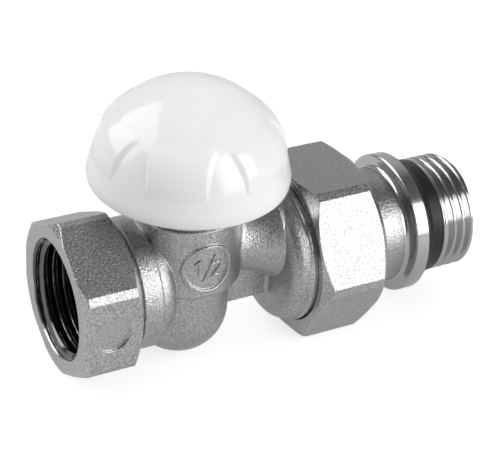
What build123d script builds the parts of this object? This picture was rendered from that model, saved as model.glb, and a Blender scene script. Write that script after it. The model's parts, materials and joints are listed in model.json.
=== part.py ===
from build123d import *
import os
from math import cos, pi, radians, sin

# Manual radiator valve, straight pattern, half-inch, in millimetres.
# The origin is the centre of the inlet socket's mouth.
# +X runs along the pipe axis to the outlet tail, and +Z up the spindle to the knob.

# Parallel pipe threads, left plain at their major radius, with a little more in the holes
HALF_MAJOR_R = 20.955 / 2
UNION_MAJOR_R = 26.441 / 2
THREAD_GAP = 0.04

# Places along the pipe
SPINDLE_X = 24.0
UNION_FACE_X = 51.4
TAIL_END_X = 78.0

# Inlet hexagon, collar and ball
HEX_AF = 26.0
HEX_LENGTH = 10.7
HEX_EDGE_BEVEL = 0.85
HEX_FRONT_R = 13.3
HEX_REAR_R = 12.5
HEX_TURN_SLOPE = 0.62
COLLAR_X = (11.5, 15.2)
COLLAR_R = 11.5
COLLAR_NECK_R = 11.0
INLET_SHOULDER_X = 18.9
INLET_SHOULDER_R = 10.4
MARK_POCKET_R = 3.15
MARK_POCKET_X = 5.1
MARK_POCKET_DEPTH = 0.4

# Chimney round the spindle, and the cup under the seat
CHIMNEY_TOP_Z = 13.4
CHIMNEY_FOOT_R = 9.7
CHIMNEY_FOOT_ROUND = 0.8
CHIMNEY_TOP_R = 9.1
CUP_X = 23.1
CUP_R = 8.7
CUP_BALL_Z = -6.5
SIZE_RING_R = 4.65
SIZE_RING_WIDTH = 0.8
SIZE_RING_HEIGHT = 0.45
SIZE_RING_ROUND = 0.2
SIZE_RING_Z = 6.1
SIZE_RING_X = 23.75

# Outlet neck, the web under it and the union flange
NECK_Z = 4.5
NECK_R = 5.85
NECK_BEND_X = 35.06
NECK_ROOT_R = 8.367
NECK_FLARE_ROUND = 12.7
NECK_BLEND = 1.2
WEB_THICKNESS = 6.2
WEB_FOOT_Z = -6.9
WEB_BLEND = 0.8
FLANGE_X = 39.2
FLANGE_R = 12.95
FLANGE_BACK_R = 12.3
FLANGE_BACK_ROUND = 2.3
FLANGE_RIM_X = 42.3

# Water passages
SOCKET_MOUTH_R = 10.75
SOCKET_DEPTH = 10.8
SOCKET_DRILL_R = 9.3
PASSAGE_R = 4.3
SEAT_R = 4.5
SEAT_LIP_R = 5.3
SEAT_Z = 1.0
WELL_POINT_Z = -12.2
CHAMBER_FLOOR_Z = 0.3
CHAMBER_R = 6.9
OUTLET_R = 4.0
UNION_BORE_R = 7.0
NOSE_BORE_R = 8.5

# Headwork in the chimney
COUNTERBORE_R = 8.35
BONNET_FLANGE_R = 8.7
BONNET_THREAD_R = 7.4
BONNET_BOTTOM_Z = 8.4
BONNET_HEX_AF = 17.0
BONNET_HEX_Z = (14.2, 18.0)
BONNET_NECK_R = 6.8
BONNET_TOP_Z = 22.0
GUIDE_AF = 8.0
GUIDE_TOP_Z = 15.4
GLAND_BORE_R = 5.0
GLAND_FLOOR_Z = 17.0
GLAND_HEX_AF = 12.0
GLAND_TOP_Z = 24.6
RUNNING = 0.05
SEATED = 0.02

# Spindle
STEM_R = 3.45
SCREW_R = 3.0
SCREW_END_Z = 9.0
SHOULDER_R = 4.8
SHOULDER_Z = (17.6, 18.8)
WASHER_THICKNESS = 0.6
STEM_RING_Z = (20.6, 22.9)
STEM_GROOVE_R = 2.3
STEM_GROOVE_WIDTH = 1.5
SPLINE_R = 3.3
SPLINE_TOOTH = 0.35
SPLINE_TEETH = 18
SPLINE_Z = (25.0, 31.0)

# Obturator
DISC_R = 5.5
DISC_THICKNESS = 2.0
DISC_EXPOSED = 1.0
HOLDER_R = 6.1
HOLDER_RIM_TOP_Z = 4.2
HOLDER_TOP_Z = 12.6
HOLDER_HOLE_Z = 6.2
DISC_SCREW_R = 1.5
DISC_SCREW_TOP_Z = 5.3
DISC_SCREW_HEAD_R = 2.7
DISC_SCREW_HEAD_Z = (-0.9, 0.4)

# Knob: a dome on a flared skirt, with six raised grip pads
KNOB_SKIRT_Z = 18.92
KNOB_RIM_R = 17.13
KNOB_R = 16.75
KNOB_WIDEST_Z = 20.26
DOME_FOOT = (16.42, 23.4)
DOME_JOIN = (11.09, 32.19)
KNOB_TOP_Z = 36.23
KNOB_TOP_FLAT_R = 0.4
KNOB_WALL = 1.9
PAD_OUTLINE = ((16.36, 23.5), (15.33, 27.6), (12.14, 31.35))
PAD_COUNT = 6
PAD_HALF_WIDTH = 4.15
PAD_ANGLE = -3.7
BOSS_R = 6.0
BOSS_Z = 25.0
BOSS_SLOT = 1.0
KNOB_RIB = 1.2
KNOB_RIB_Z = 27.5
SPRING_WIRE_R = 0.5
SPRING_RING_Z = 26.6

# Union nut and the split ring that holds it on the tail
NUT_AF = 30.0
NUT_X = (43.2, 56.6)
NUT_EDGE_BEVEL = 0.93
NUT_LIP_R = 14.8
NUT_SHOULDER_X = 54.0
NUT_THREAD_R = UNION_MAJOR_R + THREAD_GAP
SPLIT_RING_X = (52.4, 54.0)
SPLIT_RING_R = 12.6
SPLIT_GAP = 2.0

# Tail
TAIL_R = 10.4
NOSE_X = 48.5
NOSE_R = 8.43
NOSE_GROOVE_R = 7.2
NOSE_RING_X = 50.15
NOSE_RING_WIRE_R = 0.62
TAIL_RING_X = (63.9, 66.4)
TAIL_RING_R = 12.7
TAIL_FLANK_R = 11.9
SEAL_END_X = 70.9
SEAL_LIP_R = 12.15
SEAL_SEAT_R = 9.5
TAIL_BORE_R = 6.4
TAIL_KEY_AF = 10.0
TAIL_KEY_LENGTH = 8.5


def turned_along_pipe(outline, centre_z=0.0):
    """A solid turned about a line along the pipe, from (x, radius) points."""
    points = [(x, 0, centre_z + r) for x, r in outline]
    face = make_face(Polyline(*points, close=True))
    return revolve(face, axis=Axis((0, 0, centre_z), (1, 0, 0)))


def turned_soft(outline):
    """A solid turned about the pipe axis, from (x, radius, corner rounding) points."""
    edge = FilletPolyline(*[(x, 0, r) for x, r, _ in outline], radius=[soft for *_, soft in outline], close=True)
    return revolve(make_face(edge), axis=Axis.X)


def turned_up_spindle(outline, centre_x=SPINDLE_X):
    """A solid turned about an upright line, from (radius, z) points."""
    face = make_face(Polyline(*[(r, 0, z) for r, z in outline], close=True))
    return Pos(centre_x, 0, 0) * revolve(face, axis=Axis.Z)


def rod(start, end, radius):
    """A round bar between two points."""
    line = Vector(*end) - Vector(*start)
    bar = Cylinder(radius, line.length, align=(Align.CENTER, Align.CENTER, Align.MIN))
    return Plane(origin=start, z_dir=line) * bar


def bar_along_pipe(across_flats, x0, x1, turn=0.0, bevel=0.0):
    """A hexagon bar along the pipe; turn 0 puts two corners level, 30 puts them top and bottom."""
    outline = RegularPolygon(across_flats / 2, 6, major_radius=False, rotation=turn)
    if bevel:
        outline = chamfer(outline.vertices(), bevel)
    return Pos(x0, 0, 0) * extrude(Plane.YZ * outline, x1 - x0)


def bar_up_spindle(across_flats, z0, z1, turn=0.0):
    """A hexagon bar on the spindle's axis."""
    outline = RegularPolygon(across_flats / 2, 6, major_radius=False, rotation=turn)
    return Pos(SPINDLE_X, 0, z0) * extrude(outline, z1 - z0)


def ring_of_wire(centre_r, wire_r, z):
    """A torus round the spindle."""
    return Pos(SPINDLE_X, 0, z) * Torus(centre_r, wire_r)


def body_inlet():
    """Hexagon with turned ends, collar, and the shoulder that runs into the chimney."""
    corner_r = HEX_AF / 2 / cos(radians(30)) + 0.5
    front_run = (corner_r - HEX_FRONT_R) * HEX_TURN_SLOPE
    rear_run = (corner_r - HEX_REAR_R) * HEX_TURN_SLOPE
    envelope = turned_along_pipe([
        (0, 0), (0, HEX_FRONT_R), (front_run, corner_r),
        (HEX_LENGTH - rear_run, corner_r), (HEX_LENGTH, HEX_REAR_R), (HEX_LENGTH, 0),
    ])
    hexagon = bar_along_pipe(HEX_AF, 0, HEX_LENGTH, turn=30, bevel=HEX_EDGE_BEVEL) & envelope
    collar_x0, collar_x1 = COLLAR_X
    neck = turned_soft([
        (HEX_LENGTH - 1, 0, 0), (HEX_LENGTH - 1, COLLAR_NECK_R, 0), (collar_x0, COLLAR_NECK_R, 0.3),
        (collar_x0, COLLAR_R, 0.2), (collar_x1, COLLAR_R, 0.5), (collar_x1, INLET_SHOULDER_R, 0),
        (INLET_SHOULDER_X, INLET_SHOULDER_R, 3.3), (INLET_SHOULDER_X, 0, 0),
    ])
    return hexagon + neck


def body_chimney():
    """Slightly tapered chimney with the outlet neck blended into it, and the rounded cup below."""
    outline = FilletPolyline(
        (0, 0, 0), (CHIMNEY_FOOT_R, 0, 0), (CHIMNEY_TOP_R + 0.05, 0, CHIMNEY_TOP_Z - 0.2),
        (CHIMNEY_TOP_R - 0.15, 0, CHIMNEY_TOP_Z), (0, 0, CHIMNEY_TOP_Z),
        radius=[0, CHIMNEY_FOOT_ROUND, 0, 0, 0], close=True)
    chimney = Pos(SPINDLE_X, 0, 0) * revolve(make_face(outline), axis=Axis.Z)
    neck = Pos(0, 0, NECK_Z) * turned_soft([
        (SPINDLE_X, 0, 0), (SPINDLE_X, NECK_R, 0), (NECK_BEND_X, NECK_R, NECK_FLARE_ROUND),
        (FLANGE_X, NECK_ROOT_R, 0), (FLANGE_RIM_X - 0.8, NECK_ROOT_R, 0), (FLANGE_RIM_X - 0.8, 0, 0),
    ])
    solid = chimney + neck
    seam = [edge for edge in solid.edges() if edge.geom_type == GeomType.BSPLINE and edge.center().Z > 1.5]
    solid = fillet(seam, NECK_BLEND)
    wall = Cylinder(CUP_R, 1 - CUP_BALL_Z, align=(Align.CENTER, Align.CENTER, Align.MIN))
    return solid + Pos(CUP_X, 0, CUP_BALL_Z) * (wall + Rot(0, 90, 0) * Sphere(CUP_R))


def body_outlet():
    """Flat web under the neck, and the flange with the union thread's core."""
    web_x0, web_x1 = SPINDLE_X, FLANGE_X + 1
    web_height = NECK_Z - WEB_FOOT_Z
    web = Pos((web_x0 + web_x1) / 2, 0, WEB_FOOT_Z + web_height / 2) * Box(web_x1 - web_x0, WEB_THICKNESS, web_height)
    bowl = turned_soft([
        (FLANGE_X, 0, 0), (FLANGE_X, FLANGE_BACK_R, FLANGE_BACK_ROUND), (FLANGE_RIM_X, FLANGE_R, 0),
        (FLANGE_RIM_X + 0.2, UNION_MAJOR_R, 0), (UNION_FACE_X - 1, UNION_MAJOR_R, 0),
        (UNION_FACE_X, UNION_MAJOR_R - 1, 0), (UNION_FACE_X, 0, 0),
    ])
    solid = web + bowl
    roots = [edge for edge in solid.edges().filter_by(Axis.Z)
             if abs(edge.center().X - FLANGE_X) < 0.05 and abs(abs(edge.center().Y) - WEB_THICKNESS / 2) < 0.05]
    return fillet(roots, WEB_BLEND)


def body_passages():
    """Everything bored or cored out of the body."""
    wall_r = HALF_MAJOR_R + THREAD_GAP
    socket = turned_along_pipe([
        (-1, 0), (-1, SOCKET_MOUTH_R), (0, SOCKET_MOUTH_R), (SOCKET_MOUTH_R - wall_r, wall_r), (SOCKET_DEPTH, wall_r),
        (SOCKET_DEPTH, SOCKET_DRILL_R), (SOCKET_DEPTH + 1.2, SOCKET_DRILL_R), (SOCKET_DEPTH + 2.7, 6.0),
        (SOCKET_DEPTH + 2.7, 0),
    ])
    inlet = rod((10.5, 0, -3.1), (SPINDLE_X, 0, -7.6), PASSAGE_R)
    well = turned_up_spindle([
        (0, WELL_POINT_Z), (0.6, WELL_POINT_Z), (SEAT_R, WELL_POINT_Z + SEAT_R * 0.5), (SEAT_R, SEAT_Z + 1),
        (0, SEAT_Z + 1),
    ])
    chamber = turned_up_spindle([
        (SEAT_LIP_R, CHAMBER_FLOOR_Z), (CHAMBER_R, CHAMBER_FLOOR_Z), (CHAMBER_R, 7.9), (BONNET_THREAD_R, 8.3),
        (BONNET_THREAD_R, CHIMNEY_TOP_Z - 1), (COUNTERBORE_R, CHIMNEY_TOP_Z - 1),
        (COUNTERBORE_R, CHIMNEY_TOP_Z + 1), (0, CHIMNEY_TOP_Z + 1), (0, SEAT_Z), (SEAT_LIP_R, SEAT_Z),
    ])
    outlet = rod((SPINDLE_X + 5.6, 0, 4.9), (43.0, 0, 2.8), OUTLET_R)
    union = turned_along_pipe([
        (41.5, 0), (41.5, 5.5), (43.0, UNION_BORE_R), (47.9, UNION_BORE_R), (47.9, NOSE_BORE_R),
        (UNION_FACE_X - 0.3, NOSE_BORE_R), (UNION_FACE_X, NOSE_BORE_R + 0.3), (UNION_FACE_X + 1, NOSE_BORE_R + 0.3),
        (UNION_FACE_X + 1, 0),
    ])
    return [socket, inlet, well, chamber, outlet, union]


def size_ring():
    """Raised ring on the chimney's front, standing proud of the round wall by its own height."""
    ring = Circle(SIZE_RING_R) - Circle(SIZE_RING_R - SIZE_RING_WIDTH)
    band = Pos(SIZE_RING_X, 0, SIZE_RING_Z) * extrude(Plane.XZ * ring, 20)
    skin = turned_up_spindle([
        (CHIMNEY_TOP_R - 1, 0), (CHIMNEY_FOOT_R + SIZE_RING_HEIGHT, 0),
        (CHIMNEY_TOP_R + 0.1 + SIZE_RING_HEIGHT, CHIMNEY_TOP_Z - 0.4), (CHIMNEY_TOP_R - 1, CHIMNEY_TOP_Z - 0.4),
    ])
    rib = band & skin
    crests = [edge for edge in rib.edges() if edge.length > SIZE_RING_R and edge.center().Y < -CHIMNEY_TOP_R + 0.9]
    return fillet(crests, SIZE_RING_ROUND)


def valve_body():
    solid = body_inlet() + body_chimney() + body_outlet() + size_ring()
    pocket = Pos(MARK_POCKET_X, -HEX_AF / 2, 0) * Rot(90, 0, 0) * Cylinder(MARK_POCKET_R, 2 * MARK_POCKET_DEPTH)
    solid = solid - pocket
    for passage in body_passages():
        solid = solid - passage
    return solid


def bonnet():
    outside = turned_up_spindle([
        (0, BONNET_BOTTOM_Z), (BONNET_THREAD_R - 0.5, BONNET_BOTTOM_Z), (BONNET_THREAD_R - SEATED, BONNET_BOTTOM_Z + 0.5),
        (BONNET_THREAD_R - SEATED, CHIMNEY_TOP_Z), (BONNET_FLANGE_R, CHIMNEY_TOP_Z), (BONNET_FLANGE_R, BONNET_HEX_Z[0]),
        (BONNET_NECK_R, BONNET_HEX_Z[0]), (BONNET_NECK_R, BONNET_TOP_Z), (0, BONNET_TOP_Z),
    ])
    outside = outside + bar_up_spindle(BONNET_HEX_AF, *BONNET_HEX_Z)
    guide = bar_up_spindle(GUIDE_AF + 2 * RUNNING, BONNET_BOTTOM_Z - 1, GUIDE_TOP_Z)
    bores = turned_up_spindle([
        (0, GUIDE_TOP_Z - 1), (SCREW_R + RUNNING, GUIDE_TOP_Z - 1), (SCREW_R + RUNNING, GLAND_FLOOR_Z),
        (GLAND_BORE_R, GLAND_FLOOR_Z), (GLAND_BORE_R, BONNET_TOP_Z + 1), (0, BONNET_TOP_Z + 1),
    ])
    return outside - guide - bores


def bonnet_oring():
    wire_r = 0.45
    return ring_of_wire(BONNET_THREAD_R + wire_r, wire_r, CHIMNEY_TOP_Z - 0.5)


def gland_nut():
    bottom = SHOULDER_Z[1] + WASHER_THICKNESS
    outside = turned_up_spindle([
        (0, bottom), (GLAND_BORE_R - SEATED, bottom), (GLAND_BORE_R - SEATED, BONNET_TOP_Z), (0, BONNET_TOP_Z),
    ])
    head = bar_up_spindle(GLAND_HEX_AF, BONNET_TOP_Z, GLAND_TOP_Z)
    bore = turned_up_spindle([
        (0, bottom - 1), (STEM_R + RUNNING, bottom - 1), (STEM_R + RUNNING, GLAND_TOP_Z + 1), (0, GLAND_TOP_Z + 1),
    ])
    return outside + head - bore


def spline(outer_r, z0, z1):
    """A bar with straight V teeth, for the top of the spindle and its socket in the knob."""
    step = pi / SPLINE_TEETH
    points = []
    for i in range(2 * SPLINE_TEETH):
        r = outer_r - SPLINE_TOOTH * (i % 2)
        points.append((r * cos(i * step), r * sin(i * step)))
    return Pos(SPINDLE_X, 0, z0) * extrude(make_face(Polyline(*points, close=True)), z1 - z0)


def spindle():
    outline = [(0, SCREW_END_Z), (SCREW_R - 0.4, SCREW_END_Z), (SCREW_R, SCREW_END_Z + 0.4), (SCREW_R, SHOULDER_Z[0]),
               (SHOULDER_R, SHOULDER_Z[0]), (SHOULDER_R, SHOULDER_Z[1]), (STEM_R, SHOULDER_Z[1])]
    for z in STEM_RING_Z:
        half = STEM_GROOVE_WIDTH / 2
        outline += [(STEM_R, z - half), (STEM_GROOVE_R, z - half), (STEM_GROOVE_R, z + half), (STEM_R, z + half)]
    outline += [(STEM_R, SPLINE_Z[0] - 0.2), (STEM_R - 0.2, SPLINE_Z[0]), (0, SPLINE_Z[0])]
    return turned_up_spindle(outline) + spline(SPLINE_R, *SPLINE_Z)


def stem_oring(z):
    wire_r = (STEM_R - STEM_GROOVE_R) / 2 + 0.01
    return ring_of_wire(STEM_GROOVE_R + wire_r, wire_r, z)


def thrust_washer(z, inner_r):
    outer_r = GLAND_BORE_R - 2 * RUNNING
    top = z + WASHER_THICKNESS
    return turned_up_spindle([(inner_r, z), (outer_r, z), (outer_r, top), (inner_r, top)])


def disc_holder():
    """Cup for the seat disc on a hexagon shank with the spindle's thread inside."""
    rim_z = SEAT_Z + DISC_EXPOSED
    disc_top = SEAT_Z + DISC_THICKNESS
    cup = turned_up_spindle([
        (0, disc_top), (DISC_R + RUNNING, disc_top), (DISC_R + RUNNING, rim_z), (HOLDER_R, rim_z),
        (HOLDER_R, HOLDER_RIM_TOP_Z - 0.4), (HOLDER_R - 0.4, HOLDER_RIM_TOP_Z), (0, HOLDER_RIM_TOP_Z),
    ])
    shank = bar_up_spindle(GUIDE_AF, HOLDER_RIM_TOP_Z, HOLDER_TOP_Z)
    thread = turned_up_spindle([
        (0, HOLDER_HOLE_Z), (SCREW_R + RUNNING, HOLDER_HOLE_Z), (SCREW_R + RUNNING, HOLDER_TOP_Z + 1),
        (0, HOLDER_TOP_Z + 1),
    ])
    screw = turned_up_spindle([
        (0, 0), (DISC_SCREW_R + SEATED, 0), (DISC_SCREW_R + SEATED, DISC_SCREW_TOP_Z + 0.1),
        (0, DISC_SCREW_TOP_Z + 0.1),
    ])
    return cup + shank - thread - screw


def seat_disc():
    top = SEAT_Z + DISC_THICKNESS
    hole = DISC_SCREW_R + RUNNING
    return turned_up_spindle([
        (hole, SEAT_Z), (DISC_R - 0.2, SEAT_Z), (DISC_R, SEAT_Z + 0.2), (DISC_R, top), (hole, top),
    ])


def disc_washer():
    hole = DISC_SCREW_R + RUNNING
    bottom = DISC_SCREW_HEAD_Z[1]
    return turned_up_spindle([(hole, bottom), (3.2, bottom), (3.2, SEAT_Z), (hole, SEAT_Z)])


def disc_screw():
    low, high = DISC_SCREW_HEAD_Z
    screw = turned_up_spindle([
        (0, low), (DISC_SCREW_HEAD_R - 0.3, low), (DISC_SCREW_HEAD_R, low + 0.3), (DISC_SCREW_HEAD_R, high),
        (DISC_SCREW_R, high), (DISC_SCREW_R, DISC_SCREW_TOP_Z), (0, DISC_SCREW_TOP_Z),
    ])
    return screw - Pos(SPINDLE_X, 0, low) * Box(2 * DISC_SCREW_HEAD_R + 1, 0.6, 1.2)


def dome_solid(inset, skirt_z):
    """Dome of two joined arcs on a flared skirt, drawn in below the rim; the inset gives the inside of the wall."""
    rim_r, top_z = KNOB_RIM_R - inset, KNOB_TOP_Z - inset
    foot = (DOME_FOOT[0] - inset, 0, DOME_FOOT[1])
    join = (DOME_JOIN[0] - 0.64 * inset, 0, DOME_JOIN[1] - 0.77 * inset)
    top_edge = (KNOB_TOP_FLAT_R, 0, top_z)
    crown = TangentArc(top_edge, join, tangent=(1, 0, 0))
    side = TangentArc(join, foot, tangent=crown % 1)
    rest = Polyline(
        foot, (rim_r, 0, KNOB_WIDEST_Z), (rim_r - 0.15, 0, skirt_z + 0.3), (rim_r - 0.45, 0, skirt_z),
        (0, 0, skirt_z), (0, 0, top_z), top_edge)
    return revolve(make_face(crown + side + rest), axis=Axis.Z)


def grip_pads():
    """A bulged band round the dome, cut into pads by wheels with sloping sides."""
    (low_r, low), _, (high_r, high) = PAD_OUTLINE
    bulge = ThreePointArc(*[(r, 0, z) for r, z in PAD_OUTLINE])
    buried = Polyline((high_r, 0, high), (high_r - 0.7, 0, high - 0.3), (low_r - 0.7, 0, low), (low_r, 0, low))
    band = revolve(make_face(bulge + buried), axis=Axis.Z)
    wheel = make_face(Polyline(
        (KNOB_R - 3, PAD_HALF_WIDTH + 3, 0), (KNOB_R + 3, PAD_HALF_WIDTH - 3, 0),
        (KNOB_R + 3, 3 - PAD_HALF_WIDTH, 0), (KNOB_R - 3, -3 - PAD_HALF_WIDTH, 0), close=True))
    wheel = Pos(0, 0, KNOB_WIDEST_Z) * revolve(wheel, axis=Axis.Y)
    pads = []
    for i in range(PAD_COUNT // 2):
        pads += (band & Rot(0, 0, PAD_ANGLE + i * 360 / PAD_COUNT) * wheel).solids()
    return pads


def knob_hollow():
    """The room under the dome, less the ribs and the slotted boss with its spline and its ring's groove."""
    inner_r = KNOB_R - KNOB_WALL
    inner_top = KNOB_TOP_Z - KNOB_WALL
    boss_height = inner_top + 1 - BOSS_Z
    kept = Pos(0, 0, BOSS_Z) * Cylinder(BOSS_R, boss_height, align=(Align.CENTER, Align.CENTER, Align.MIN))
    ribs = Pos(0, 0, (KNOB_RIB_Z + inner_top) / 2) * Box(2 * inner_r, KNOB_RIB, inner_top - KNOB_RIB_Z)
    for i in range(PAD_COUNT // 2):
        kept = kept + Rot(0, 0, PAD_ANGLE + i * 360 / PAD_COUNT) * ribs
    hollow = dome_solid(KNOB_WALL, KNOB_SKIRT_Z - 0.3) - kept
    slot = Box(2 * BOSS_R + 1, BOSS_SLOT, 2 * (KNOB_RIB_Z - BOSS_Z)) & Cylinder(BOSS_R + 0.5, 4 * BOSS_R)
    for i in range(2):
        hollow = hollow + Pos(0, 0, BOSS_Z) * Rot(0, 0, PAD_ANGLE + 30 + 90 * i) * slot
    groove = Pos(0, 0, SPRING_RING_Z) * Torus(BOSS_R + 0.1, SPRING_WIRE_R + SEATED)
    hollow = Pos(SPINDLE_X, 0, 0) * (hollow + groove)
    return hollow + spline(SPLINE_R + SEATED, BOSS_Z - 1, SPLINE_Z[1] + 0.3)


def knob():
    shell = dome_solid(0, KNOB_SKIRT_Z)
    for pad in grip_pads():
        shell = shell + pad
    return Pos(SPINDLE_X, 0, 0) * shell - knob_hollow()


def knob_spring_ring():
    """Open wire ring that squeezes the knob's slotted boss on to the spline."""
    ring = ring_of_wire(BOSS_R + 0.1, SPRING_WIRE_R, SPRING_RING_Z)
    gap = Pos(SPINDLE_X + BOSS_R, 0, SPRING_RING_Z) * Box(4, 1.5, 4)
    return ring - gap


def union_nut():
    corner_r = NUT_AF / 2 / cos(radians(30)) + 0.5
    flat_r = NUT_AF / 2
    slope = 0.64
    run = (corner_r - flat_r) * slope
    front, rear = NUT_X
    envelope = turned_along_pipe([
        (front, 0), (front, NUT_LIP_R), (front + 0.15, flat_r), (front + 0.15 + run, corner_r),
        (rear - 0.9 - run, corner_r), (rear - 0.9, flat_r), (rear - 0.3, NUT_LIP_R - 0.1), (rear, NUT_LIP_R - 0.5),
        (rear, 0),
    ])
    nut = bar_along_pipe(NUT_AF, front, rear, bevel=NUT_EDGE_BEVEL) & envelope
    bore = turned_along_pipe([
        (front - 1, 0), (front - 1, NUT_THREAD_R + 0.3), (front, NUT_THREAD_R + 0.3), (front + 0.3, NUT_THREAD_R),
        (NUT_SHOULDER_X, NUT_THREAD_R), (NUT_SHOULDER_X, TAIL_R + 0.08), (rear + 1, TAIL_R + 0.08),
        (rear + 1, 0),
    ])
    return nut - bore


def nut_split_ring():
    x0, x1 = SPLIT_RING_X
    groove_r = TAIL_R - 1.1 + SEATED
    ring = turned_along_pipe([(x0, groove_r), (x0, SPLIT_RING_R), (x1, SPLIT_RING_R), (x1, groove_r)])
    return ring - Pos((x0 + x1) / 2, 0, -SPLIT_RING_R) * Box(4, SPLIT_GAP, 2 * SPLIT_RING_R - 10)


def tailpiece():
    x0, x1 = SPLIT_RING_X
    ring_x0, ring_x1 = TAIL_RING_X
    groove = 2 * NOSE_RING_WIRE_R + 0.2
    tail = turned_along_pipe([
        (NOSE_X, 0), (NOSE_X, NOSE_R - 0.5), (NOSE_X + 0.5, NOSE_R), (NOSE_RING_X - groove / 2, NOSE_R),
        (NOSE_RING_X - groove / 2, NOSE_GROOVE_R), (NOSE_RING_X + groove / 2, NOSE_GROOVE_R),
        (NOSE_RING_X + groove / 2, NOSE_R), (UNION_FACE_X, NOSE_R), (UNION_FACE_X, TAIL_R),
        (x0 - SEATED, TAIL_R), (x0 - SEATED, TAIL_R - 1.1), (x1, TAIL_R - 1.1), (x1, TAIL_R),
        (ring_x0 - 1.4, TAIL_R), (ring_x0 - 0.8, TAIL_R + 0.2), (ring_x0 - 0.4, TAIL_R + 0.7),
        (ring_x0 - 0.35, TAIL_FLANK_R), (ring_x0, TAIL_RING_R - 0.1), (ring_x0 + 0.1, TAIL_RING_R),
        (ring_x1 - 0.15, TAIL_RING_R), (ring_x1, TAIL_RING_R - 0.15), (ring_x1, SEAL_SEAT_R),
        (SEAL_END_X, SEAL_SEAT_R), (SEAL_END_X, HALF_MAJOR_R - 0.1), (SEAL_END_X + 0.1, HALF_MAJOR_R),
        (TAIL_END_X - 0.8, HALF_MAJOR_R), (TAIL_END_X, HALF_MAJOR_R - 0.85), (TAIL_END_X, 0),
    ])
    key = bar_along_pipe(TAIL_KEY_AF, NOSE_X - 1, NOSE_X + TAIL_KEY_LENGTH)
    key_end = NOSE_X + TAIL_KEY_LENGTH
    bore = turned_along_pipe([
        (key_end - 0.5, 0), (key_end - 0.5, TAIL_KEY_AF / 2), (key_end + 1, TAIL_BORE_R),
        (TAIL_END_X - 0.5, TAIL_BORE_R), (TAIL_END_X, TAIL_BORE_R + 0.5), (TAIL_END_X + 1, TAIL_BORE_R + 0.5),
        (TAIL_END_X + 1, 0),
    ])
    return tail - key - bore


def union_oring():
    ring = Torus(NOSE_GROOVE_R + NOSE_RING_WIRE_R + 0.01, NOSE_RING_WIRE_R)
    return Pos(NOSE_RING_X, 0, 0) * Rot(0, 90, 0) * ring


def tail_seal():
    """Black rubber wedge that seals the tail in the radiator without tape."""
    x0 = TAIL_RING_X[1]
    inner = SEAL_SEAT_R + SEATED
    return turned_soft([
        (x0, inner, 0), (x0, SEAL_LIP_R, 0.2), (x0 + 0.6, SEAL_LIP_R, 0.3), (x0 + 2.0, HALF_MAJOR_R + 0.2, 0.8),
        (SEAL_END_X, HALF_MAJOR_R, 0.2), (SEAL_END_X, inner, 0),
    ])


NODES = {
    "valve_body": valve_body,
    "bonnet": bonnet,
    "bonnet_oring": bonnet_oring,
    "gland_nut": gland_nut,
    "spindle": spindle,
    "lower_stem_oring": lambda: stem_oring(STEM_RING_Z[0]),
    "upper_stem_oring": lambda: stem_oring(STEM_RING_Z[1]),
    "lower_thrust_washer": lambda: thrust_washer(SHOULDER_Z[0] - WASHER_THICKNESS, SCREW_R + RUNNING),
    "upper_thrust_washer": lambda: thrust_washer(SHOULDER_Z[1], STEM_R + RUNNING),
    "knob": knob,
    "knob_spring_ring": knob_spring_ring,
    "disc_holder": disc_holder,
    "seat_disc": seat_disc,
    "disc_washer": disc_washer,
    "disc_screw": disc_screw,
    "union_nut": union_nut,
    "nut_split_ring": nut_split_ring,
    "tailpiece": tailpiece,
    "union_oring": union_oring,
    "tail_seal": tail_seal,
}

os.makedirs("parts", exist_ok=True)
for node, build in NODES.items():
    export_step(build(), f"parts/{node}.step")
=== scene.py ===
"""Looks of the manual radiator valve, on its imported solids.

Metres, with +X along the pipe and +Z up the spindle. The sizes of added pieces are in millimetres.
"""
import json
from math import cos, pi, radians, sin, sqrt, tau

import bmesh
import bpy
from mathutils import Matrix, Vector


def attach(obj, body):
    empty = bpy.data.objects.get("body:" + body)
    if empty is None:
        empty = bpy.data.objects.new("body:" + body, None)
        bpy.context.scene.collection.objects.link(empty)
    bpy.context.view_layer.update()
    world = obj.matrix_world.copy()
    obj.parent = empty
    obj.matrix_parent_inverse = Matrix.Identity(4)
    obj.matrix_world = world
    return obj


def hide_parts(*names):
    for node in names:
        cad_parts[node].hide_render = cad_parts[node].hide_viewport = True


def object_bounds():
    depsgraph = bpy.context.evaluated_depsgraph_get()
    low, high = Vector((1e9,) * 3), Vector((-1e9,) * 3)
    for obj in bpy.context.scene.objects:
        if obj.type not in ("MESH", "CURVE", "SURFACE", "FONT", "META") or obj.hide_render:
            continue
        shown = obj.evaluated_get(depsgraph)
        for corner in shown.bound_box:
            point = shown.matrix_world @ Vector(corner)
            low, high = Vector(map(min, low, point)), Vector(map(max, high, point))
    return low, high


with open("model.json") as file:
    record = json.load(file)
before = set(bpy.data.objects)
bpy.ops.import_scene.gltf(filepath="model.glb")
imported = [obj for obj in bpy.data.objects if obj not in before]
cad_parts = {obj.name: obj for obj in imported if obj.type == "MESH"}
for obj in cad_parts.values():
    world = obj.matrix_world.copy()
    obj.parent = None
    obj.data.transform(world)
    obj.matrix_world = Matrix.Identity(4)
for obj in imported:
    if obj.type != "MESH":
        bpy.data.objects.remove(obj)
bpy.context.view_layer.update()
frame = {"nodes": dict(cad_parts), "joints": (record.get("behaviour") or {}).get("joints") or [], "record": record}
nodes = frame["nodes"]

MM = 0.001

# Places taken from the solids
KNOB_AXIS = [j["pos_m"] for j in frame["joints"] if j["name"] == "knob_turn"][0]
MOUNTS = {m["name"]: m for m in frame["record"]["mounts"]}
SOCKET_R = MOUNTS["inlet_thread"]["dims"]["r_mm"]
MAJOR_R = MOUNTS["tail_thread"]["dims"]["r_mm"]
BORE_R = MOUNTS["tail_waterway"]["dims"]["r_mm"]
ALONG_PIPE, UP_SPINDLE = (1, 0, 0), (0, 0, 1)

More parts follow.
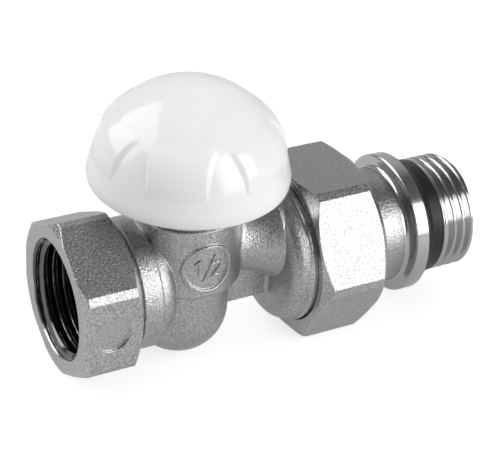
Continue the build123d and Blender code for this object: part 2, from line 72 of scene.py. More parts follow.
# Half-inch pipe thread, 14 turns to the inch
PITCH = 25.4 / 14
THREAD_DEPTH = 0.6403 * PITCH

# Points in each ring of a piece turned about the pipe
SIDES = 192

FLOAT, VECTOR = "NodeSocketFloat", "NodeSocketVector"
GEOMETRY, MATERIAL = "NodeSocketGeometry", "NodeSocketMaterial"


# Nodes

def feed(tree, socket, value):
    """Links another node's output to an input, or sets a plain value on it."""
    if isinstance(value, bpy.types.NodeSocket):
        tree.links.new(value, socket)
    else:
        socket.default_value = value


def fill_in(tree, node, **inputs):
    """Sets or links a node's inputs by name, with an underscore for each space."""
    for name, value in inputs.items():
        feed(tree, node.inputs[name.replace("_", " ")], value)
    return node


def put(tree, kind, **inputs):
    """A new node with its inputs filled in."""
    return fill_in(tree, tree.nodes.new(kind), **inputs)


def use(tree, group, **inputs):
    """A shared effect placed in a material, with the material's own values."""
    node = tree.nodes.new("ShaderNodeGroup")
    node.node_tree = group
    return fill_in(tree, node, **inputs).outputs


def reckon(tree, operation, *values):
    """One step of arithmetic."""
    node = tree.nodes.new("ShaderNodeMath")
    node.operation = operation
    for socket, value in zip(node.inputs, values):
        feed(tree, socket, value)
    return node.outputs[0]


def reckon_vector(tree, operation, *vectors):
    """One step of vector arithmetic, with its outputs Vector and Value."""
    node = tree.nodes.new("ShaderNodeVectorMath")
    node.operation = operation
    for socket, vector in zip(node.inputs, vectors):
        feed(tree, socket, vector)
    return node.outputs


def spread(tree, value, low, high, out_low=0.0, out_high=1.0):
    """A value between low and high, spread over another range and held inside it."""
    return put(tree, "ShaderNodeMapRange", Value=value, From_Min=low, From_Max=high,
               To_Min=out_low, To_Max=out_high).outputs["Result"]


def axes(tree, vector):
    return put(tree, "ShaderNodeSeparateXYZ", Vector=vector).outputs


def distance_from_pipe(tree, y, z):
    square = reckon(tree, "MULTIPLY", y, y)
    return reckon(tree, "SQRT", reckon(tree, "MULTIPLY_ADD", z, z, square))


def place_on_piece(tree):
    return tree.nodes.new("ShaderNodeTexCoord").outputs["Object"]


def new_group(name, kind, inputs, outputs):
    """An empty node group: its tree, the outputs of its input node, and its output node."""
    tree = bpy.data.node_groups.new(name, kind)
    for label, socket_type, value in inputs:
        socket = tree.interface.new_socket(label, in_out="INPUT", socket_type=socket_type)
        if value is not None:
            socket.default_value = value
    for label, socket_type in outputs:
        tree.interface.new_socket(label, in_out="OUTPUT", socket_type=socket_type)
    return tree, tree.nodes.new("NodeGroupInput").outputs, tree.nodes.new("NodeGroupOutput")


# Effects that several finishes share

def make_grain_group():
    """Fine dimples of a tumbled and plated forging, over soft unevenness."""
    clouds_per_metre = 220.0
    tree, given, out = new_group(
        "satin_grain", "ShaderNodeTree",
        [("Size", FLOAT, 0.3 * MM), ("Waviness", FLOAT, 0.4)],
        [("Height", FLOAT), ("Speckle", FLOAT), ("Cloud", FLOAT)],
    )
    place = place_on_piece(tree)
    scale = reckon(tree, "DIVIDE", 1.0, given["Size"])
    fine = put(tree, "ShaderNodeTexNoise", Vector=place, Scale=scale,
               Detail=2.0, Roughness=0.6).outputs[0]
    coarse = put(tree, "ShaderNodeTexNoise", Vector=place, Scale=clouds_per_metre,
                 Detail=2.0, Roughness=0.5).outputs[0]
    wavy = reckon(tree, "MULTIPLY", coarse, given["Waviness"])
    fill_in(tree, out, Height=reckon(tree, "ADD", fine, wavy),
            Speckle=spread(tree, fine, 0.35, 0.65), Cloud=spread(tree, coarse, 0.3, 0.7))
    return tree


def make_turning_group():
    """Rings left by a lathe tool: they follow the distance along and away from the part's axis."""
    tree, given, out = new_group(
        "turning_marks", "ShaderNodeTree",
        [("Centre", VECTOR, (0, 0, 0)), ("Axis", VECTOR, ALONG_PIPE), ("Feed", FLOAT, 0.12 * MM)],
        [("Height", FLOAT), ("Ring", FLOAT)],
    )
    offset = reckon_vector(tree, "SUBTRACT", place_on_piece(tree), given["Centre"])["Vector"]
    along = reckon_vector(tree, "DOT_PRODUCT", offset, given["Axis"])["Value"]
    across = reckon_vector(tree, "CROSS_PRODUCT", offset, given["Axis"])["Vector"]
    away = reckon_vector(tree, "LENGTH", across)["Value"]
    step = reckon(tree, "DIVIDE", reckon(tree, "ADD", along, away), given["Feed"])
    lines = tree.nodes.new("ShaderNodeTexNoise")
    lines.noise_dimensions = "1D"
    ring = fill_in(tree, lines, W=step, Scale=1.0, Detail=3.0).outputs[0]
    fill_in(tree, out, Height=ring, Ring=spread(tree, ring, 0.3, 0.7))
    return tree


def make_edge_group():
    """Rounds edges over a small radius, and masks them, concave and convex alike, for a painted edge highlight and
    smoother roughness.
    """
    tree, given, out = new_group(
        "soft_edges", "ShaderNodeTree",
        [("Radius", FLOAT, 0.2 * MM)],
        [("Normal", VECTOR), ("Edge", FLOAT)],
    )
    bevel = put(tree, "ShaderNodeBevel", Radius=given["Radius"])
    bevel.samples = 6
    rounded = bevel.outputs[0]
    flat = tree.nodes.new("ShaderNodeNewGeometry").outputs["Normal"]
    near = reckon_vector(tree, "DOT_PRODUCT", rounded, flat)["Value"]
    fill_in(tree, out, Normal=rounded, Edge=spread(tree, near, 0.995, 0.9))
    return tree


def make_machined_group():
    """Where the forgings are turned: end faces, chamfers and the union's barrel, with its helix."""
    tree, given, out = new_group(
        "machined_places", "ShaderNodeTree",
        [("Inlet To", FLOAT, 10.85 * MM), ("Union From", FLOAT, 42.0 * MM),
         ("Barrel Radius", FLOAT, 13.6 * MM),
         ("Thread From", FLOAT, 43.4 * MM), ("Thread To", FLOAT, 53.9 * MM)],
        [("Turned", FLOAT), ("Helix", FLOAT)],
    )
    coords = tree.nodes.new("ShaderNodeTexCoord").outputs
    x, y, z = axes(tree, coords["Object"])
    facing = axes(tree, coords["Normal"])["X"]
    ends = spread(tree, reckon(tree, "ABSOLUTE", facing), 0.3, 0.5)
    inlet = reckon(tree, "LESS_THAN", x, given["Inlet To"])
    union = reckon(tree, "GREATER_THAN", x, given["Union From"])
    ends = reckon(tree, "MULTIPLY", ends, reckon(tree, "MAXIMUM", inlet, union))
    slim = reckon(tree, "LESS_THAN", distance_from_pipe(tree, y, z), given["Barrel Radius"])
    barrel = reckon(tree, "MULTIPLY", union, slim)
    angle = reckon(tree, "ARCTAN2", z, y)
    turn = reckon(tree, "SUBTRACT", reckon(tree, "MULTIPLY", x, tau / (PITCH * MM)), angle)
    begun = reckon(tree, "GREATER_THAN", x, given["Thread From"])
    span = reckon(tree, "MULTIPLY", begun, reckon(tree, "LESS_THAN", x, given["Thread To"]))
    threaded = reckon(tree, "MULTIPLY", span, barrel)
    fill_in(tree, out, Turned=reckon(tree, "MAXIMUM", ends, barrel),
            Helix=reckon(tree, "MULTIPLY", reckon(tree, "COSINE", turn), threaded))
    return tree


GRAIN = make_grain_group()
TURNING = make_turning_group()
EDGES = make_edge_group()
MACHINED = make_machined_group()


# Finishes

def new_material(name):
    material = bpy.data.materials.new(name)
    material.use_nodes = True
    tree = material.node_tree
    return material, tree, tree.nodes["Principled BSDF"]


def mix_colour(tree, factor, low, high):
    """A colour between two, each given as numbers or as another node's output."""
    node = tree.nodes.new("ShaderNodeMix")
    node.data_type = "RGBA"
    tree.links.new(factor, node.inputs["Factor"])
    for socket, colour in zip(node.inputs[6:8], (low, high)):
        feed(tree, socket, (*colour, 1) if isinstance(colour, tuple) else colour)
    return node.outputs[2]


def grey(level):
    """A colour without a hue."""
    return (level, level, level)


def bump(tree, height, strength, depth, **normal):
    """A bump from a height, over a Normal where one is given."""
    return put(tree, "ShaderNodeBump", Height=height, Strength=strength, Distance=depth,
               **normal).outputs[0]


GRAIN_SIZE, GRAIN_DEPTH = 0.3 * MM, 0.11 * MM
TOOL_FEED = 0.1 * MM
HELIX_DEPTH = 0.45 * MM


def forged_nickel():
    """Nickel-plated forging with a satin grain, smoother where it is turned and along its edges, which also carry
    a painted highlight.
    """
    pit, peak, edge_highlight_colour = (0.33, 0.328, 0.324), (0.65, 0.647, 0.642), (0.8, 0.797, 0.79)
    edge_highlight_share, smoother_edge, smoother_turned, lathed_height = 0.7, 0.1, 0.18, 0.08
    material, tree, shader = new_material("forged_nickel")
    edge = use(tree, EDGES, Radius=0.25 * MM)
    grain = use(tree, GRAIN, Size=GRAIN_SIZE, Waviness=0.1)
    places = use(tree, MACHINED)
    marks = use(tree, TURNING, Centre=(0, 0, 0), Axis=ALONG_PIPE, Feed=TOOL_FEED)
    colour = mix_colour(tree, grain["Speckle"], pit, peak)
    # Painted highlight: every edge, concave and convex alike, is mixed towards a pale colour
    painted_edge_highlight = reckon(tree, "MULTIPLY", edge["Edge"], edge_highlight_share)
    rough = spread(tree, grain["Speckle"], 0.0, 1.0, 0.3, 0.42)
    for place, smoother in ((edge["Edge"], smoother_edge), (places["Turned"], smoother_turned)):
        rough = reckon(tree, "SUBTRACT", rough, reckon(tree, "MULTIPLY", place, smoother))
    forged = reckon(tree, "SUBTRACT", 1.0, places["Turned"])
    grained = reckon(tree, "MULTIPLY", grain["Height"], forged)
    lathed = reckon(tree, "MULTIPLY", marks["Height"], places["Turned"])
    height = reckon(tree, "ADD", grained, reckon(tree, "MULTIPLY", lathed, lathed_height))
    normal = bump(tree, height, 1.0, GRAIN_DEPTH, Normal=edge["Normal"])
    fill_in(tree, shader, Metallic=1.0, Base_Color=mix_colour(tree, painted_edge_highlight, colour, edge_highlight_colour),
            Roughness=rough, Normal=bump(tree, places["Helix"], 1.0, HELIX_DEPTH, Normal=normal))
    return material


def turned_nickel(name, centre, axis, low=0.5, high=0.58, forged_to=0.0):
    """Plated turning: fine rings about its own axis, and satin grain short of forged_to."""
    forged_peak, rougher_forged, fade = (0.36, 0.358, 0.354), 0.16, 0.4 * MM
    material, tree, shader = new_material(name)
    edge = use(tree, EDGES, Radius=0.12 * MM)
    marks = use(tree, TURNING, Centre=centre, Axis=axis, Feed=TOOL_FEED)
    colour = mix_colour(tree, marks["Ring"], grey(low), grey(high))
    rough = spread(tree, marks["Ring"], 0.0, 1.0, 0.12, 0.2)
    normal = bump(tree, marks["Height"], 0.25, 0.01 * MM, Normal=edge["Normal"])
    if forged_to:
        grain = use(tree, GRAIN, Size=GRAIN_SIZE, Waviness=0.1)
        x = axes(tree, place_on_piece(tree))["X"]
        forged = spread(tree, x, forged_to, forged_to - fade)
        speckle = reckon(tree, "MULTIPLY", forged, grain["Speckle"])
        colour = mix_colour(tree, speckle, colour, forged_peak)
        rough = reckon(tree, "MULTIPLY_ADD", forged, rougher_forged, rough)
        height = reckon(tree, "MULTIPLY", grain["Height"], forged)
        normal = bump(tree, height, 1.0, GRAIN_DEPTH, Normal=normal)
    fill_in(tree, shader, Metallic=1.0, Base_Color=colour, Roughness=rough, Normal=normal)
    return material


def machined_brass():
    """Bare brass of the parts inside."""
    low, high = (0.62, 0.42, 0.16), (0.74, 0.54, 0.25)
    material, tree, shader = new_material("machined_brass")
    edge = use(tree, EDGES, Radius=0.1 * MM)
    marks = use(tree, TURNING, Centre=KNOB_AXIS, Axis=UP_SPINDLE, Feed=TOOL_FEED)
    fill_in(tree, shader, Metallic=1.0, Base_Color=mix_colour(tree, marks["Ring"], low, high),
            Roughness=spread(tree, marks["Ring"], 0.0, 1.0, 0.18, 0.3),
            Normal=bump(tree, marks["Height"], 0.3, 0.01 * MM, Normal=edge["Normal"]))
    return material


def spring_steel():
    """Drawn wire of the two rings."""
    low, high = (0.42, 0.42, 0.43), (0.55, 0.55, 0.56)
    material, tree, shader = new_material("spring_steel")
    grain = use(tree, GRAIN, Size=0.1 * MM, Waviness=0.1)
    fill_in(tree, shader, Metallic=1.0, Base_Color=mix_colour(tree, grain["Speckle"], low, high),
            Roughness=spread(tree, grain["Speckle"], 0.0, 1.0, 0.25, 0.38))
    return material


def white_plastic():
    """Glossy moulding of the knob."""
    material, tree, shader = new_material("white_plastic")
    edge = use(tree, EDGES, Radius=0.3 * MM)
    grain = use(tree, GRAIN, Size=0.8 * MM, Waviness=1.0)
    fill_in(tree, shader, Base_Color=mix_colour(tree, grain["Cloud"], grey(0.92), grey(0.935)),
            Roughness=spread(tree, grain["Cloud"], 0.0, 1.0, 0.14, 0.18),
            Normal=bump(tree, grain["Height"], 0.04, 0.02 * MM, Normal=edge["Normal"]))
    return material


def black_rubber():
    """Moulded rubber of the seals and the disc."""
    material, tree, shader = new_material("black_rubber")
    grain = use(tree, GRAIN, Size=0.15 * MM, Waviness=0.3)
    fill_in(tree, shader, Base_Color=mix_colour(tree, grain["Speckle"], grey(0.006), grey(0.018)),
            Roughness=spread(tree, grain["Cloud"], 0.0, 1.0, 0.35, 0.5),
            Normal=bump(tree, grain["Height"], 0.2, 0.02 * MM), Specular_IOR_Level=0.35)
    return material


def slide_plastic():
    """Pale plastic of the thrust washers."""
    low, high = (0.7, 0.69, 0.64), (0.78, 0.77, 0.72)
    material, tree, shader = new_material("slide_plastic")
    grain = use(tree, GRAIN, Size=0.2 * MM, Waviness=0.2)
    fill_in(tree, shader, Base_Color=mix_colour(tree, grain["Speckle"], low, high),
            Roughness=spread(tree, grain["Cloud"], 0.0, 1.0, 0.4, 0.5))
    return material


FLARE_STARTS = 62.9 * MM

FORGED = forged_nickel()
TURNED_PIPE = turned_nickel("turned_nickel", (0, 0, 0), ALONG_PIPE, forged_to=FLARE_STARTS)
# Painted shade: the socket's turning is coloured much darker than the other turnings, for the shade inside the
# deep bore
SOCKET_SHADE_FINISH = turned_nickel("turned_nickel_socket_painted_shade", (0, 0, 0), ALONG_PIPE, low=0.12, high=0.2)
TURNED_UP = turned_nickel("turned_nickel_upright", KNOB_AXIS, UP_SPINDLE)
BRASS = machined_brass()
STEEL = spring_steel()
WHITE = white_plastic()
RUBBER = black_rubber()
SLIDE = slide_plastic()

FINISHES = {
    "valve_body": FORGED,
    "union_nut": FORGED,
    "tailpiece": TURNED_PIPE,
    "bonnet": TURNED_UP,
    "gland_nut": BRASS,
    "spindle": BRASS,
    "disc_holder": BRASS,
    "disc_washer": BRASS,
    "disc_screw": BRASS,
    "knob_spring_ring": STEEL,
    "nut_split_ring": STEEL,
    "knob": WHITE,
    "tail_seal": RUBBER,
    "seat_disc": RUBBER,
    "bonnet_oring": RUBBER,
    "union_oring": RUBBER,
    "lower_stem_oring": RUBBER,
    "upper_stem_oring": RUBBER,
    "lower_thrust_washer": SLIDE,
    "upper_thrust_washer": SLIDE,
}

for node, finish in FINISHES.items():
    nodes[node].material_slots[0].material = finish


# Geometry Nodes that shape the added pieces

def new_shaping(name, *sizes):
    """An empty tree that moves a piece's points, with a named input for each of its sizes."""
    inputs = [("Geometry", GEOMETRY, None), ("Finish", MATERIAL, None)]
    inputs += [(label, FLOAT, value) for label, value in sizes]
    return new_group(name, "GeometryNodeTree", inputs, [("Geometry", GEOMETRY)])


def end_shaping(tree, given, out, **moves):
    """Moves the points, and ends the tree with Realize Instances and Set Material."""
    moved = put(tree, "GeometryNodeSetPosition", Geometry=given["Geometry"], **moves)
    whole = put(tree, "GeometryNodeRealizeInstances", Geometry=moved.outputs[0])
    dressed = put(tree, "GeometryNodeSetMaterial", Geometry=whole.outputs[0],
                  Material=given["Finish"])
    fill_in(tree, out, Geometry=dressed.outputs[0])
    return tree


def own_point(tree):
    """The X, Y and Z of the point that is being moved."""
    return axes(tree, tree.nodes.new("GeometryNodeInputPosition").outputs[0])


def thread_cut(tree, x, y, z, pitch, depth):
    """Depth of a right-hand thread below its crest, with a rounded crest and root."""
    crest_to, root_from, straight = 0.12, 0.88, 0.65
    turns = reckon(tree, "DIVIDE", reckon(tree, "ARCTAN2", z, y), tau)
    turns = reckon(tree, "SUBTRACT", reckon(tree, "DIVIDE", x, pitch), turns)
    folded = reckon(tree, "MULTIPLY_ADD", reckon(tree, "FRACT", turns), 2.0, -1.0)
    flank = spread(tree, reckon(tree, "ABSOLUTE", folded), crest_to, root_from)
    curve = put(tree, "ShaderNodeMapRange", Value=flank)
    curve.interpolation_type = "SMOOTHSTEP"
    share = reckon(tree, "MULTIPLY_ADD", flank, -straight, 1.0)
    share = reckon(tree, "MULTIPLY_ADD", curve.outputs["Result"], straight - 1, share)
    return reckon(tree, "MULTIPLY", depth, share)


def to_radius(tree, x, y, z, away, radius):
    """A point on the same ray from the pipe's axis, at another distance from it."""
    scale = reckon(tree, "DIVIDE", radius, away)
    return put(tree, "ShaderNodeCombineXYZ", X=x, Y=reckon(tree, "MULTIPLY", y, scale),
               Z=reckon(tree, "MULTIPLY", z, scale)).outputs[0]


def make_outside_thread():
    """Cuts a thread into a plain barrel about the pipe, from nothing at its start to full depth."""
    tree, given, out = new_shaping(
        "outside_thread", ("Pitch", PITCH * MM), ("Depth", THREAD_DEPTH * MM),
        ("Crest Radius", MAJOR_R * MM), ("Start", 0.0), ("Run In", 0.7 * MM))
    x, y, z = own_point(tree)
    away = distance_from_pipe(tree, y, z)
    past = reckon(tree, "SUBTRACT", x, given["Start"])
    full = reckon(tree, "MINIMUM", 1.0, reckon(tree, "DIVIDE", past, given["Run In"]))
    cut = thread_cut(tree, x, y, z, given["Pitch"], given["Depth"])
    floor = reckon(tree, "SUBTRACT", given["Crest Radius"], reckon(tree, "MULTIPLY", full, cut))
    radius = reckon(tree, "MINIMUM", away, floor)
    return end_shaping(tree, given, out, Selection=reckon(tree, "GREATER_THAN", past, 0.0),
                       Position=to_radius(tree, x, y, z, away, radius))


def make_inside_thread():
    """Raises a thread on the plain wall of a socket about the pipe, behind a countersunk mouth."""
    tree, given, out = new_shaping(
        "inside_thread", ("Pitch", PITCH * MM), ("Depth", THREAD_DEPTH * MM),
        ("Root Radius", MAJOR_R * MM), ("Wall Radius", SOCKET_R * MM),
        ("Mouth Radius", SOCKET_R * MM))
    x, y, z = own_point(tree)
    away = distance_from_pipe(tree, y, z)
    cut = thread_cut(tree, x, y, z, given["Pitch"], given["Depth"])
    crest = reckon(tree, "SUBTRACT", given["Root Radius"], given["Depth"])
    sunk = reckon(tree, "SUBTRACT", given["Mouth Radius"], x)
    ridge = reckon(tree, "MAXIMUM", sunk, reckon(tree, "ADD", crest, cut))
    radius = reckon(tree, "MINIMUM", away, ridge)
    return end_shaping(tree, given, out,
                       Selection=reckon(tree, "LESS_THAN", away, given["Wall Radius"]),
                       Position=to_radius(tree, x, y, z, away, radius))


def make_chimney_wrap():
    """Wraps a flat mark round the tapered chimney: X goes round it, Y off it and Z up it."""
    tree, given, out = new_shaping(
        "chimney_wrap", ("Wall Radius", 9.7 * MM), ("Taper", 0.0417), ("Chimney X", 24.0 * MM),
        ("Mark X", 23.75 * MM), ("Mark Z", 6.1 * MM))
    round_it, lift, up_it = own_point(tree)
    z = reckon(tree, "ADD", up_it, given["Mark Z"])
    taper = reckon(tree, "MULTIPLY", z, given["Taper"])
    wall = reckon(tree, "SUBTRACT", given["Wall Radius"], taper)
    aside = reckon(tree, "SUBTRACT", given["Mark X"], given["Chimney X"])
    turn = reckon(tree, "DIVIDE", reckon(tree, "ADD", aside, round_it), wall)
    angle = reckon(tree, "SUBTRACT", turn, pi / 2)
    away = reckon(tree, "ADD", wall, lift)
    x = reckon(tree, "MULTIPLY_ADD", away, reckon(tree, "COSINE", angle), given["Chimney X"])
    y = reckon(tree, "MULTIPLY", away, reckon(tree, "SINE", angle))
    return end_shaping(tree, given, out,
                       Position=put(tree, "ShaderNodeCombineXYZ", X=x, Y=y, Z=z).outputs[0])


OUTSIDE_THREAD = make_outside_thread()
INSIDE_THREAD = make_inside_thread()
CHIMNEY_WRAP = make_chimney_wrap()


# Added pieces

def shape_piece(piece, tree, **values):
    """Runs a tree on a piece, keeps the result as its plain mesh and removes the modifier."""
    flat = piece.data
    modifier = piece.modifiers.new(tree.name, "NODES")
    modifier.node_group = tree
    sockets = {s.name: s.identifier for s in tree.interface.items_tree if s.in_out == "INPUT"}
    for name, value in values.items():
        modifier[sockets[name.replace("_", " ")]] = value
    evaluated = piece.evaluated_get(bpy.context.evaluated_depsgraph_get())
    shaped = bpy.data.meshes.new_from_object(evaluated)
    piece.modifiers.clear()
    piece.data = shaped
    bpy.data.meshes.remove(flat)
    shaped.name = piece.name


def place_mesh(name, points, faces, finish, body, crease=35, shaping=None, **sizes):
    """A piece from points in millimetres, shaped by a tree or not, on the body it rides on."""
    mesh = bpy.data.meshes.new(name)
    mesh.from_pydata([Vector(p) * MM for p in points], [], faces)
    mesh.materials.append(finish)
    piece = bpy.data.objects.new(name, mesh)
    bpy.context.scene.collection.objects.link(piece)
    if shaping:
        shape_piece(piece, shaping, Finish=finish, **sizes)
        mesh = piece.data
    shape = bmesh.new()
    shape.from_mesh(mesh)
    bmesh.ops.recalc_face_normals(shape, faces=shape.faces)
    shape.to_mesh(mesh)
    shape.free()
    mesh.shade_smooth()
    mesh.set_sharp_from_angle(angle=radians(crease))
    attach(piece, body)
    return piece


def turned_piece(name, rows, finish, body, shaping, **sizes):
    """A closed ring about the pipe, from (x, radius) rows; a radius may be a function."""
    points, faces = [], []
    for i, (x, radius) in enumerate(rows):
        for k in range(SIDES):
            angle = tau * k / SIDES
            r = radius(x, angle) if callable(radius) else radius
            points.append((x, r * cos(angle), r * sin(angle)))
            here, there = i * SIDES, (i + 1) % len(rows) * SIDES
            beside = (k + 1) % SIDES
            faces.append((here + k, here + beside, there + beside, there + k))
    return place_mesh(name, points, faces, finish, body, shaping=shaping, **sizes)


def steps(start, end, gap):
    """Even steps from start to end, about a gap apart."""
    count = max(1, round(abs(end - start) / gap))
    return [start + (end - start) * i / count for i in range(count + 1)]


# The sleeve that carries the female thread: its ends and the gap between its rows, its inner
# and outer radius, and the radius of its countersink in the plane of the mouth
SLEEVE_START, SLEEVE_END, SLEEVE_ROW = 0.25, 10.78, 0.07
SLEEVE_INNER, SLEEVE_OUTER = SOCKET_R - 0.01, SOCKET_R + 0.1
COUNTERSINK_R = SOCKET_R + 0.24


def socket_thread():
    """The female thread, a ridged sleeve let into the plain wall of the socket, coloured dark as painted shade."""
    rows = [(x, SLEEVE_INNER) for x in steps(SLEEVE_START, SLEEVE_END, SLEEVE_ROW)]
    rows += [(SLEEVE_END, SLEEVE_OUTER), (SLEEVE_START, SLEEVE_OUTER)]
    piece = turned_piece("socket_thread", rows, SOCKET_SHADE_FINISH, "body", INSIDE_THREAD,
                         Mouth_Radius=COUNTERSINK_R * MM)


# The tail's turned outline, (x, radius) from its nose to its thread
NOSE = [(48.5, 7.93), (49.0, 8.43), (49.43, 8.43), (49.43, 7.2), (50.87, 7.2), (50.87, 8.43),
        (51.4, 8.43)]
SPLIT_RING_GROOVE = [(51.4, 10.3), (51.5, 10.4), (52.38, 10.4), (52.38, 9.3), (54.0, 9.3),
                     (54.0, 10.4)]
SHANK_FROM, SHANK_TO, SHANK_R = 56.0, 62.0, 10.4
FLARE = [(62.5, 10.4), (62.85, 10.45), (63.1, 10.6), (63.35, 10.85), (63.5, 11.1)]
STOP_RING = [(63.55, 11.9), (63.9, 12.6), (64.0, 12.7), (66.25, 12.7), (66.4, 12.55)]
SEAL_GROOVE = [(66.4, 9.5), (70.9, 9.5), (70.9, 10.3)]

# Its thread, with a chamfered end, and the gap between the thread's rows
THREAD_START, CHAMFER_START, TAIL_END = 71.0, 77.2, 78.0
THREAD_ROW, CHAMFER_SLOPE, BORE_CHAMFER = 0.06, 1.06, 0.5

# The hexagon key in its nose, half its width across flats, and the lead-in to it
BORE_START, KEY_END, KEY_MIDDLE, NOSE_END = 58.0, 57.0, 52.0, 48.5
KEY_HALF, KEY_LEAD, KEY_SLOPE = 5.0, 0.5, 0.93


def key_radius(x, angle):
    """Distance from the axis to the key's hexagon, or to the lead-in where that is wider."""
    sixth = tau / 6
    flat = KEY_HALF / cos(angle % sixth - sixth / 2)
    return max(flat, KEY_HALF + (x - KEY_END + KEY_LEAD) * KEY_SLOPE)


def threaded_tail():
    """The tailpiece with its male thread cut, and its bore with the hexagon key."""
    rows = NOSE + SPLIT_RING_GROOVE + [(x, SHANK_R) for x in steps(SHANK_FROM, SHANK_TO, 1.0)]
    rows += FLARE + STOP_RING + SEAL_GROOVE + [(THREAD_START, MAJOR_R)]
    rows += [(x, MAJOR_R - max(0.0, x - CHAMFER_START) * CHAMFER_SLOPE)
             for x in steps(THREAD_START + THREAD_ROW, TAIL_END, THREAD_ROW)]
    rows += [(TAIL_END, BORE_R + BORE_CHAMFER), (TAIL_END - BORE_CHAMFER, BORE_R),
             (BORE_START, BORE_R), (KEY_END, KEY_HALF + KEY_LEAD * KEY_SLOPE)]
    rows += [(x, key_radius) for x in (KEY_END, KEY_END - KEY_LEAD, KEY_MIDDLE, NOSE_END)]
    piece = turned_piece("threaded_tail", rows, TURNED_PIPE, "tail", OUTSIDE_THREAD,
                         Start=THREAD_START * MM)
    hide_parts("tailpiece")


# Strokes of the size mark, as points round and up from the middle of the chimney's ring
ONE = [(-2.75, 0.85), (-2.0, 1.35), (-1.55, 1.75), (-1.55, -1.25)]
SLASH = [(1.35, 2.75), (-0.9, -2.5)]
TWO = [(0.85, 0.55), (1.1, 1.0), (1.7, 1.2), (2.3, 0.95), (2.4, 0.4), (1.95, -0.2), (1.3, -0.8),
       (0.85, -1.3), (1.6, -1.3), (2.45, -1.3)]
STROKE_WIDTH, STROKE_STEP = 0.62, 0.35

# Section of a stroke: how far aside in stroke widths, and how far off the wall
STROKE_SECTION = [(-0.5, -0.3), (-0.42, 0.1), (-0.22, 0.34), (0.22, 0.34), (0.42, 0.1),
                  (0.5, -0.3)]
STROKE_SUNK = -0.3


def size_mark():
    """The pipe size, one half, in raised strokes inside the ring on the chimney."""
    points, faces = [], []
    for stroke in (ONE, SLASH, TWO):
        add_stroke(stroke, points, faces)
    piece = place_mesh("size_mark", points, faces, FORGED, "body", crease=50,
                       shaping=CHIMNEY_WRAP)


def add_stroke(stroke, points, faces):
    """One raised stroke with sloping sides and sunken ends, still flat."""
    line = []
    for a, b in zip(stroke, stroke[1:]):
        du, dv = b[0] - a[0], b[1] - a[1]
        count = max(2, int(sqrt(du ** 2 + dv ** 2) / STROKE_STEP))
        line += [(a[0] + du * i / count, a[1] + dv * i / count) for i in range(count)]
    line.append(stroke[-1])
    first, last, width = len(points), len(line) - 1, len(STROKE_SECTION)
    for i, (u, v) in enumerate(line):
        before, after = line[max(0, i - 1)], line[min(last, i + 1)]
        du, dv = after[0] - before[0], after[1] - before[1]
        size = sqrt(du * du + dv * dv)
        for offset, lift in STROKE_SECTION:
            aside = offset * STROKE_WIDTH
            off_wall = STROKE_SUNK if i in (0, last) else lift
            points.append((u - aside * dv / size, off_wall, v + aside * du / size))
    for i in range(last):
        for k in range(width):
            n = (k + 1) % width
            a = first + i * width
            faces.append((a + k, a + n, a + width + n, a + width + k))
    faces.append(tuple(first + k for k in range(width)))
    faces.append(tuple(first + last * width + k for k in reversed(range(width))))


# The dome's radius falls evenly from DOME_RADIUS at DOME_LEVEL up to the tops of the pads
DOME_LEVEL, DOME_RADIUS, DOME_SLOPE = 30.45, 12.8, 0.905
PAD_TOP, PAD_FADE = 31.37, 0.445


def settle_pad(x, y, z):
    """A point of the knob, with each grip pad's upper end run out on the dome to leave no step."""
    if not DOME_LEVEL < z < PAD_TOP + 0.03:
        return (x, y, z)
    dx, dy = x - KNOB_AXIS[0] / MM, y - KNOB_AXIS[1] / MM
    away = sqrt(dx * dx + dy * dy)
    dome = DOME_RADIUS - DOME_SLOPE * (z - DOME_LEVEL)
    if away < dome:
        return (x, y, z)
    scale = min(away, dome + PAD_FADE * max(0.0, PAD_TOP - z)) / away
    return (x + dx * (scale - 1), y + dy * (scale - 1), z)


def smooth_knob():
    """The knob's own solid with one smooth skin, so that no seam shows between its surfaces."""
    source = nodes["knob"].data
    shape = bmesh.new()
    shape.from_mesh(source)
    bmesh.ops.remove_doubles(shape, verts=shape.verts, dist=0.001 * MM)
    points = [settle_pad(*(v.co / MM)) for v in shape.verts]
    faces = [tuple(v.index for v in face.verts) for face in shape.faces]
    shape.free()
    piece = place_mesh("knob_skin", points, faces, WHITE, "knob", crease=22)
    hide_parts("knob")


socket_thread()
threaded_tail()
size_mark()
smooth_knob()


# Camera, light and floor

CAMERA_LENS, CAMERA_SENSOR = 118.73, 36.0
CAMERA_PLACE = Vector((-83.97, -209.47, 161.82)) * MM
CAMERA_RIGHT = Vector((0.88482, -0.46155, 0.06370))
CAMERA_UP = Vector((0.20363, 0.50604, 0.83813))


def make_camera():
    """The photograph's camera, fitted to its circles and corners."""
    data = bpy.data.cameras.new("camera")
    data.lens = CAMERA_LENS
    data.sensor_width = CAMERA_SENSOR
    data.clip_start, data.clip_end = 0.01, 20
    data.dof.use_dof = False
    camera = bpy.data.objects.new("camera", data)
    bpy.context.scene.collection.objects.link(camera)
    back = CAMERA_RIGHT.cross(CAMERA_UP)
    turn = Matrix((CAMERA_RIGHT, CAMERA_UP, back)).transposed().to_4x4()
    camera.matrix_world = Matrix.Translation(CAMERA_PLACE) @ turn
    bpy.context.scene.camera = camera


MIDDLE = (0.035, 0, 0.01)

# Name, azimuth from +X, elevation and distance from the middle, size, power, mirrored or not
SOFTBOXES = [
    ("right_box", -57, 23, 0.7, (0.56, 0.5), 3.5, True),
    ("left_box", 140, 35, 0.7, (0.66, 0.6), 3.6, True),
    ("front_fill", -110, 62, 0.9, (0.7, 0.7), 1.9, False),
]


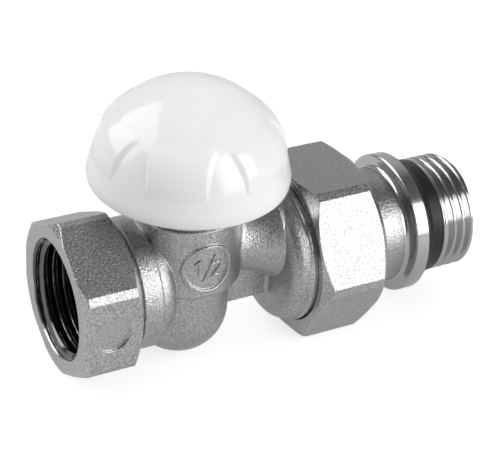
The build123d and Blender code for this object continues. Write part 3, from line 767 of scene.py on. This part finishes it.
def make_softbox(name, azimuth, elevation, distance, size, power, mirrored):
    """A soft lamp that faces the object's middle."""
    turn, rise = radians(azimuth), radians(elevation)
    flat = distance * cos(rise)
    place = (MIDDLE[0] + flat * cos(turn), MIDDLE[1] + flat * sin(turn),
             MIDDLE[2] + distance * sin(rise))
    data = bpy.data.lights.new(name, "AREA")
    data.shape = "RECTANGLE"
    data.size, data.size_y = size
    data.energy = power
    lamp = bpy.data.objects.new(name, data)
    bpy.context.scene.collection.objects.link(lamp)
    lamp.location = place
    lamp.rotation_mode = "QUATERNION"
    lamp.rotation_quaternion = (Vector(MIDDLE) - Vector(place)).to_track_quat("-Z", "Y")
    lamp.visible_glossy = mirrored


ROOM_DARK, ROOM_WALL, ROOM_HORIZON = 0.14, 0.55, 0.6
WALL_TOWARDS, WALL_EDGE, WALL_FULL = (0.47, 0.85, 0.24), 0.6, 0.95
HORIZON_TOP, HORIZON_FULL = 0.1, 0.03


def make_world():
    """A dark studio room with a pale horizon, and a pale wall behind the object."""
    world = bpy.data.worlds.new("room")
    bpy.context.scene.world = world
    world.use_nodes = True
    tree = world.node_tree
    direction = tree.nodes.new("ShaderNodeTexCoord").outputs["Generated"]
    facing = reckon_vector(tree, "DOT_PRODUCT", direction, WALL_TOWARDS)["Value"]
    wall = spread(tree, facing, WALL_EDGE, WALL_FULL, ROOM_DARK, ROOM_WALL)
    height = axes(tree, direction)["Z"]
    horizon = spread(tree, height, HORIZON_TOP, HORIZON_FULL, 0.0, ROOM_HORIZON)
    fill_in(tree, tree.nodes["Background"], Color=(1, 1, 1, 1),
            Strength=reckon(tree, "MAXIMUM", wall, horizon))


FLOOR_HALF, FLOOR_GAP = 2.0, 0.0001
FLOOR_NEAR, FLOOR_FAR = 0.3, 0.55
FLOOR_COLOUR, FLOOR_FAR_COLOUR = 0.5, 0.15
FLOOR_GLOW, FLOOR_FAR_GLOW = 0.7, 1.0
FLOOR_MIRRORED = 0.35


def make_stage():
    """A white floor just under the object, with little light of its own on it."""
    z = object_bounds()[0].z - FLOOR_GAP
    corners = [(-FLOOR_HALF, -FLOOR_HALF, z), (FLOOR_HALF, -FLOOR_HALF, z),
               (FLOOR_HALF, FLOOR_HALF, z), (-FLOOR_HALF, FLOOR_HALF, z)]
    mesh = bpy.data.meshes.new("floor")
    mesh.from_pydata(corners, [], [(0, 1, 2, 3)])
    floor = bpy.data.objects.new("floor", mesh)
    bpy.context.scene.collection.objects.link(floor)
    material, tree, shader = new_material("floor")
    away = reckon_vector(tree, "LENGTH", place_on_piece(tree))["Value"]
    near = spread(tree, away, FLOOR_FAR, FLOOR_NEAR)
    path = tree.nodes.new("ShaderNodeLightPath").outputs
    mirrored = reckon(tree, "MULTIPLY", path["Is Glossy Ray"], FLOOR_MIRRORED)
    seen = reckon(tree, "MAXIMUM", path["Is Camera Ray"], mirrored)
    seen = reckon(tree, "MAXIMUM", seen, path["Is Transmission Ray"])
    glow = spread(tree, near, 0.0, 1.0, FLOOR_FAR_GLOW, FLOOR_GLOW)
    fill_in(tree, shader,
            Base_Color=mix_colour(tree, near, grey(FLOOR_FAR_COLOUR), grey(FLOOR_COLOUR)),
            Roughness=0.9, Emission_Color=(1, 1, 1, 1),
            Emission_Strength=reckon(tree, "MULTIPLY", seen, glow))
    mesh.materials.append(material)


bpy.context.scene.view_settings.view_transform = "Standard"
make_camera()
make_world()
make_stage()
for softbox in SOFTBOXES:
    make_softbox(*softbox)
